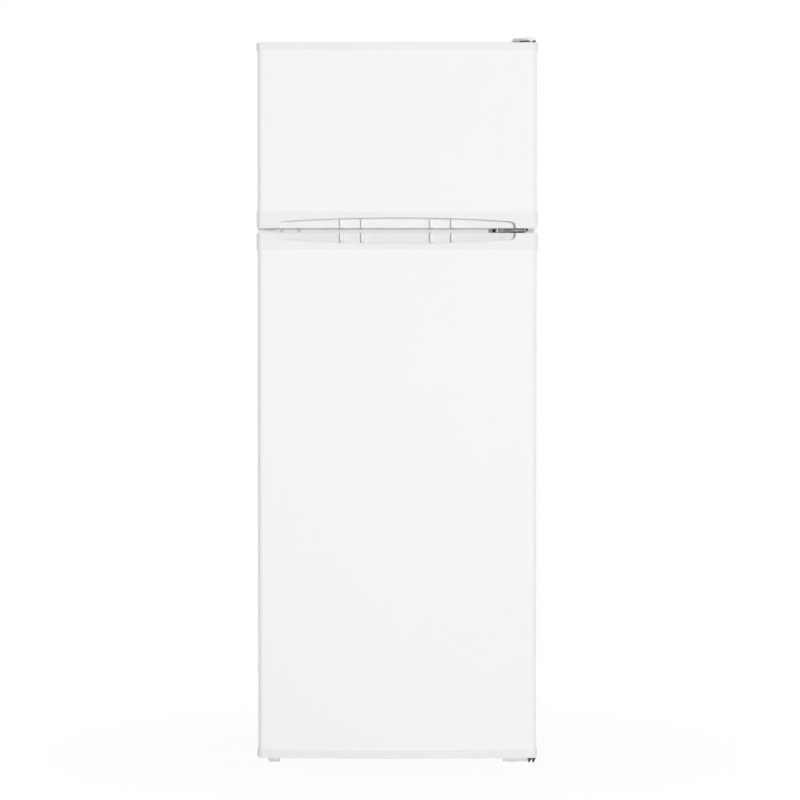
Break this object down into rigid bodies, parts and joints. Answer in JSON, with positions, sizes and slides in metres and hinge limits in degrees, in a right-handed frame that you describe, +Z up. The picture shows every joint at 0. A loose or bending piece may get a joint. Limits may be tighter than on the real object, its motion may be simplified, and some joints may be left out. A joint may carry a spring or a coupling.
{
  "type": "top freezer refrigerator",
  "caption": "White top freezer refrigerator with bowed doors on right-hand hinges, pocket handles between the doors, and fitted compartments.",
  "frame": {"origin": "on the floor under the middle of the whole object", "axes": "+Z up, front with the doors towards -Y, +X to the right of someone facing the doors"},
  "size_m": [0.546, 0.565, 1.4235],
  "materials": {
    "white_steel": "gloss",
    "white_cap": "satin",
    "white_liner": "satin",
    "back_steel": "satin",
    "zinc_steel": "satin",
    "foam": "matte",
    "gasket": "matte",
    "black_steel": "satin",
    "black_rubber": "matte",
    "black_plastic": "matte",
    "copper": "satin",
    "aluminium": "satin",
    "grey_plastic": "matte",
    "clear_plastic": "gloss",
    "glass": "gloss",
    "ice_tray_blue": "satin",
    "wire_white": "gloss"
  },
  "bodies": {
    "cabinet": {"outer_shell": "white_steel", "rear_panel": "back_steel", "base_deck": "zinc_steel", "cabinet_foam": "foam", "freezer_liner": "white_liner", "fridge_liner": "white_liner", "divider_strip": "white_steel", "top_hinge": "zinc_steel", "top_hinge_cover": "white_cap", "center_hinge": "zinc_steel", "bottom_hinge": "zinc_steel", "hinge_screws": "zinc_steel", "hinge_hole_plugs": "grey_plastic", "compressor": "black_steel", "compressor_grommets": "black_rubber", "relay_cover": "black_plastic", "condenser_tube": "black_steel", "condenser_wires": "black_steel", "condenser_brackets": "black_plastic", "filter_drier": "copper", "refrigerant_lines": "copper", "drain_pan": "grey_plastic", "drain_tube": "grey_plastic", "mains_inlet": "black_plastic", "evaporator_plate": "aluminium", "freezer_coil": "copper", "thermostat_housing": "white_liner", "lamp_bulb": "glass", "lamp_lens": "clear_plastic", "shelf_glass": "glass", "shelf_frames": "white_liner", "crisper_cover": "clear_plastic", "freezer_shelf": "wire_white", "ice_tray": "ice_tray_blue", "roller_brackets": "zinc_steel"},
    "freezer_door": {"freezer_door_skin": "white_steel", "freezer_door_top_cap": "white_cap", "freezer_door_handle_cap": "white_cap", "freezer_door_foam": "foam", "freezer_door_liner": "white_liner", "freezer_door_gasket": "gasket", "freezer_door_bushes": "grey_plastic"},
    "fridge_door": {"fridge_door_skin": "white_steel", "fridge_door_handle_cap": "white_cap", "fridge_door_bottom_cap": "white_cap", "fridge_door_foam": "foam", "fridge_door_liner": "white_liner", "fridge_door_gasket": "gasket", "fridge_door_bushes": "grey_plastic"},
    "freezer_bin": {"freezer_door_bin": "clear_plastic"},
    "upper_bin": {"upper_door_bin": "clear_plastic"},
    "middle_bin": {"middle_door_bin": "clear_plastic"},
    "lower_bin": {"bottle_bin": "clear_plastic"},
    "crisper": {"crisper_drawer": "clear_plastic"},
    "knob": {"thermostat_knob": "grey_plastic"},
    "switch_plunger": {"lamp_switch": "white_liner"},
    "left_foot": {"front_left_foot": "grey_plastic"},
    "right_foot": {"front_right_foot": "grey_plastic"},
    "left_roller": {"left_rear_roller": "grey_plastic"},
    "right_roller": {"right_rear_roller": "grey_plastic"}
  },
  "joints": [
    {"name": "freezer_door_hinge", "type": "hinge", "parent": "cabinet", "child": "freezer_door", "pos_m": [0.255, -0.2555, 1.234], "axis": [0, 0, 1], "range_deg": [0, 135]},
    {"name": "fridge_door_hinge", "type": "hinge", "parent": "cabinet", "child": "fridge_door", "pos_m": [0.255, -0.2555, 0.5335], "axis": [0, 0, 1], "range_deg": [0, 135]},
    {"name": "freezer_bin_lift", "type": "slide", "parent": "freezer_door", "child": "freezer_bin", "axis": [0, 0, 1], "range_m": [0, 0.03]},
    {"name": "upper_bin_lift", "type": "slide", "parent": "fridge_door", "child": "upper_bin", "axis": [0, 0, 1], "range_m": [0, 0.03]},
    {"name": "middle_bin_lift", "type": "slide", "parent": "fridge_door", "child": "middle_bin", "axis": [0, 0, 1], "range_m": [0, 0.03]},
    {"name": "lower_bin_lift", "type": "slide", "parent": "fridge_door", "child": "lower_bin", "axis": [0, 0, 1], "range_m": [0, 0.03]},
    {"name": "crisper_slide", "type": "slide", "parent": "cabinet", "child": "crisper", "axis": [0, -1, 0], "range_m": [0, 0.165]},
    {"name": "thermostat_turn", "type": "hinge", "parent": "cabinet", "child": "knob", "pos_m": [0.102, -0.1715, 0.9715], "axis": [0, 1, 0], "range_deg": [0, 270]},
    {"name": "lamp_switch_travel", "type": "slide", "parent": "cabinet", "child": "switch_plunger", "axis": [0, -1, 0], "range_m": [0, 0.008]},
    {"name": "left_foot_turn", "type": "hinge", "parent": "cabinet", "child": "left_foot", "pos_m": [-0.243, -0.1625, 0], "axis": [0, 0, 1], "range_deg": [-360, 360]},
    {"name": "right_foot_turn", "type": "hinge", "parent": "cabinet", "child": "right_foot", "pos_m": [0.225, -0.1625, 0], "axis": [0, 0, 1], "range_deg": [-360, 360]},
    {"name": "left_roller_spin", "type": "hinge", "parent": "cabinet", "child": "left_roller", "pos_m": [-0.238, 0.1925, 0.014], "axis": [1, 0, 0], "continuous": true},
    {"name": "right_roller_spin", "type": "hinge", "parent": "cabinet", "child": "right_roller", "pos_m": [0.238, 0.1925, 0.014], "axis": [1, 0, 0], "continuous": true}
  ],
  "couplings": [
    {"joint": "crisper_slide", "follows": "fridge_door_hinge", "m_per_rad": 0.070028},
    {"joint": "lamp_switch_travel", "follows": "fridge_door_hinge", "m_per_rad": 0.003395}
  ]
}
